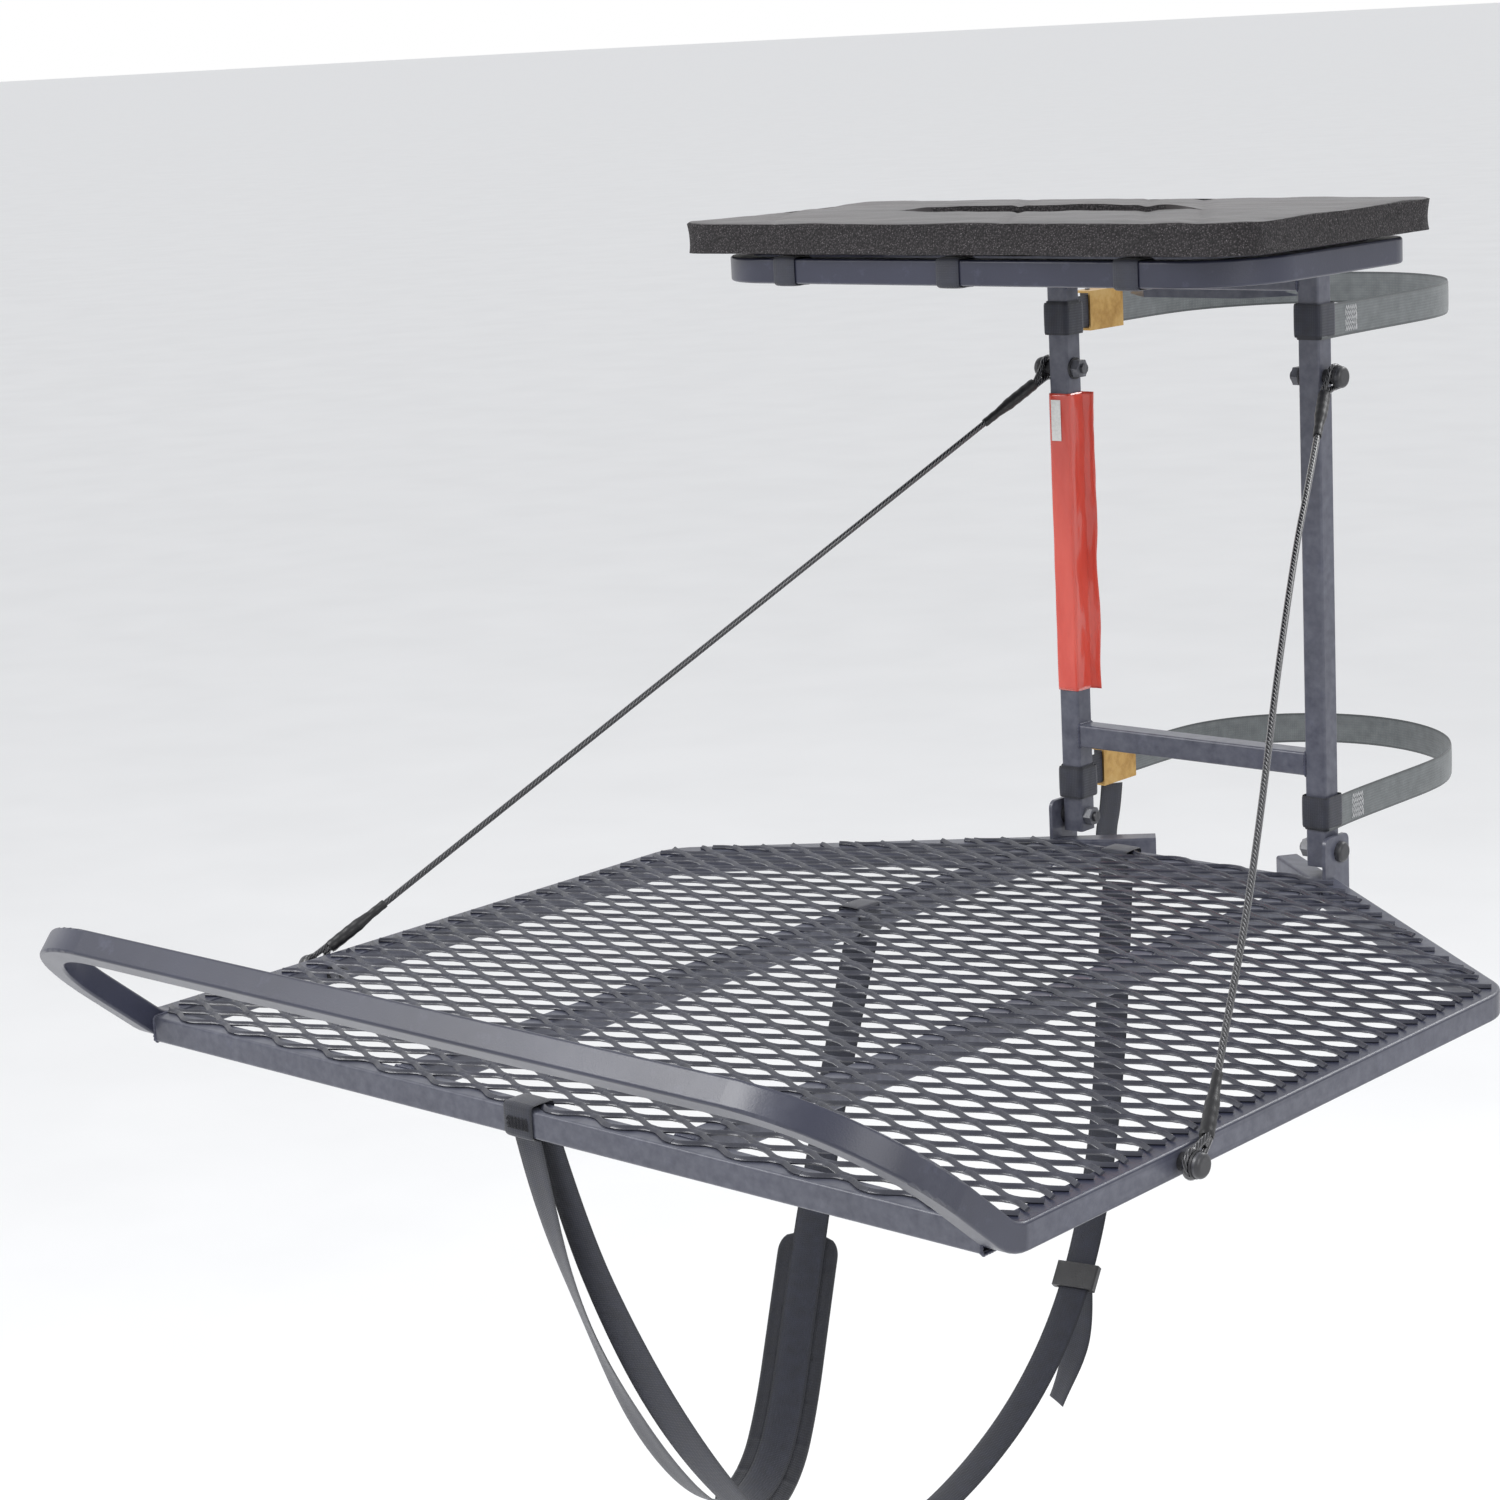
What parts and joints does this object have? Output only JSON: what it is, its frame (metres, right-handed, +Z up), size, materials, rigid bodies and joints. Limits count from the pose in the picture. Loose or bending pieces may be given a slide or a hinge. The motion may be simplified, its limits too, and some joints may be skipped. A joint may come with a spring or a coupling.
{
  "type": "tree stand",
  "caption": "Hang-on tree stand: strapped two-post frame, folding mesh platform hung on two coated cables, and a flip-up padded seat with shoulder straps underneath.",
  "frame": {"origin": "on the tree's bark line, midway between the platform's two rear tips and level with the middle of the platform's tubes", "axes": "+X to the right as seen from in front of the stand, +Y from the stand towards the tree, +Z up"},
  "size_m": [0.795, 1.1244, 0.9316],
  "materials": {
    "frame_coat": "satin",
    "mesh_coat": "satin",
    "end_plugs": "matte",
    "bolt_black": "satin",
    "spacer_nylon": "matte",
    "cable_coat": "gloss",
    "cable_sleeve": "satin",
    "web_black": "matte",
    "web_grey": "matte",
    "buckle_plated": "satin",
    "lever_black": "satin",
    "slider_plastic": "satin",
    "pad_foam": "matte",
    "vinyl_red": "gloss",
    "label_white": "matte"
  },
  "bodies": {
    "post_frame": {"left_post": "frame_coat", "right_post": "frame_coat", "lower_crossbar": "frame_coat", "upper_crossbar": "frame_coat", "upper_tree_bracket": "frame_coat", "post_end_plugs": "end_plugs", "platform_hinge_bolts": "bolt_black", "platform_hinge_washers": "spacer_nylon", "seat_hinge_bolts": "bolt_black", "seat_hinge_washers": "spacer_nylon", "upper_cable_bolts": "bolt_black", "upper_cable_washers": "spacer_nylon", "post_frame_nuts": "bolt_black", "upper_strap_short_end": "web_black", "upper_strap_long_end": "web_grey", "lower_strap_short_end": "web_black", "lower_strap_long_end": "web_grey", "lower_strap_tail": "web_grey", "upper_buckle_body": "buckle_plated", "lower_buckle_body": "buckle_plated", "buckle_pins": "bolt_black", "manual_sleeve": "vinyl_red", "blank_label": "label_white"},
    "platform": {"platform_perimeter_tube": "frame_coat", "platform_front_tube": "frame_coat", "platform_rear_tube": "frame_coat", "platform_left_strut": "frame_coat", "platform_right_strut": "frame_coat", "deck_mesh": "mesh_coat", "left_hinge_ear": "frame_coat", "right_hinge_ear": "frame_coat", "lower_cable_bolts": "bolt_black", "lower_cable_nuts": "bolt_black", "lower_cable_washers": "spacer_nylon", "front_strap_loop": "web_black", "rear_strap_loop": "web_black", "strut_strap_loop": "web_black", "left_shoulder_strap": "web_black", "right_shoulder_strap": "web_black", "shoulder_strap_tail": "web_black", "left_shoulder_pad": "web_black"},
    "strap_slider": {"shoulder_strap_slider": "slider_plastic"},
    "seat": {"seat_frame": "frame_coat", "seat_left_arm": "frame_coat", "seat_right_arm": "frame_coat", "seat_sling": "web_black", "seat_ties": "web_black", "seat_pad": "pad_foam"},
    "left_cable_top": {"left_cable_upper_span": "cable_coat", "left_cable_upper_sleeve": "cable_sleeve"},
    "left_cable_bottom": {"left_cable_lower_span": "cable_coat", "left_cable_lower_sleeve": "cable_sleeve"},
    "right_cable_top": {"right_cable_upper_span": "cable_coat", "right_cable_upper_sleeve": "cable_sleeve"},
    "right_cable_bottom": {"right_cable_lower_span": "cable_coat", "right_cable_lower_sleeve": "cable_sleeve"},
    "upper_lever": {"upper_buckle_lever": "lever_black"},
    "lower_lever": {"lower_buckle_lever": "lever_black"}
  },
  "joints": [
    {"name": "platform_fold", "type": "hinge", "parent": "post_frame", "child": "platform", "pos_m": [0, -0.038, 0.027], "axis": [-1, 0, 0], "range_deg": [0, 90], "deforming": ["left_shoulder_strap", "right_shoulder_strap", "shoulder_strap_tail", "left_shoulder_pad"]},
    {"name": "seat_flip", "type": "hinge", "parent": "post_frame", "child": "seat", "pos_m": [0, -0.038, 0.484], "axis": [-1, 0, 0], "range_deg": [0, 90]},
    {"name": "left_cable_swing", "type": "hinge", "parent": "post_frame", "child": "left_cable_top", "pos_m": [-0.1306, -0.038, 0.385], "axis": [-1, 0, 0], "range_deg": [-90.96, 0], "deforming": ["left_cable_upper_span", "left_cable_upper_sleeve"]},
    {"name": "left_cable_bend", "type": "hinge", "parent": "left_cable_top", "child": "left_cable_bottom", "pos_m": [-0.21961, -0.24015, 0.24941], "axis": [-1, 0, 0], "range_deg": [0, 193.06], "deforming": ["left_cable_lower_span", "left_cable_lower_sleeve"]},
    {"name": "right_cable_swing", "type": "hinge", "parent": "post_frame", "child": "right_cable_top", "pos_m": [0.1306, -0.038, 0.385], "axis": [-1, 0, 0], "range_deg": [-94.87, 0], "deforming": ["right_cable_upper_span", "right_cable_upper_sleeve"]},
    {"name": "right_cable_bend", "type": "hinge", "parent": "right_cable_top", "child": "right_cable_bottom", "pos_m": [0.21961, -0.24378, 0.25217], "axis": [-1, 0, 0], "range_deg": [0, 195.94], "deforming": ["right_cable_lower_span", "right_cable_lower_sleeve"]},
    {"name": "upper_lever_swing", "type": "hinge", "parent": "post_frame", "child": "upper_lever", "pos_m": [-0.1315, 0.018, 0.425], "axis": [0, 0, 1], "range_deg": [0, 60], "stiffness_Nm_per_rad": 0.05},
    {"name": "lower_lever_swing", "type": "hinge", "parent": "post_frame", "child": "lower_lever", "pos_m": [-0.1315, 0.018, 0.056], "axis": [0, 0, 1], "range_deg": [0, 60], "stiffness_Nm_per_rad": 0.05},
    {"name": "slider_slide", "type": "slide", "parent": "platform", "child": "strap_slider", "axis": [-0.1272, 0.6501, 0.7491], "range_m": [-0.012, 0.012]}
  ],
  "couplings": [
    {"joint": "seat_flip", "follows": "platform_fold", "ratio": 1},
    {"joint": "left_cable_swing", "follows": "platform_fold", "ratio": -1.0106},
    {"joint": "left_cable_bend", "follows": "platform_fold", "ratio": 2.145},
    {"joint": "right_cable_swing", "follows": "platform_fold", "ratio": -1.054},
    {"joint": "right_cable_bend", "follows": "platform_fold", "ratio": 2.177}
  ]
}
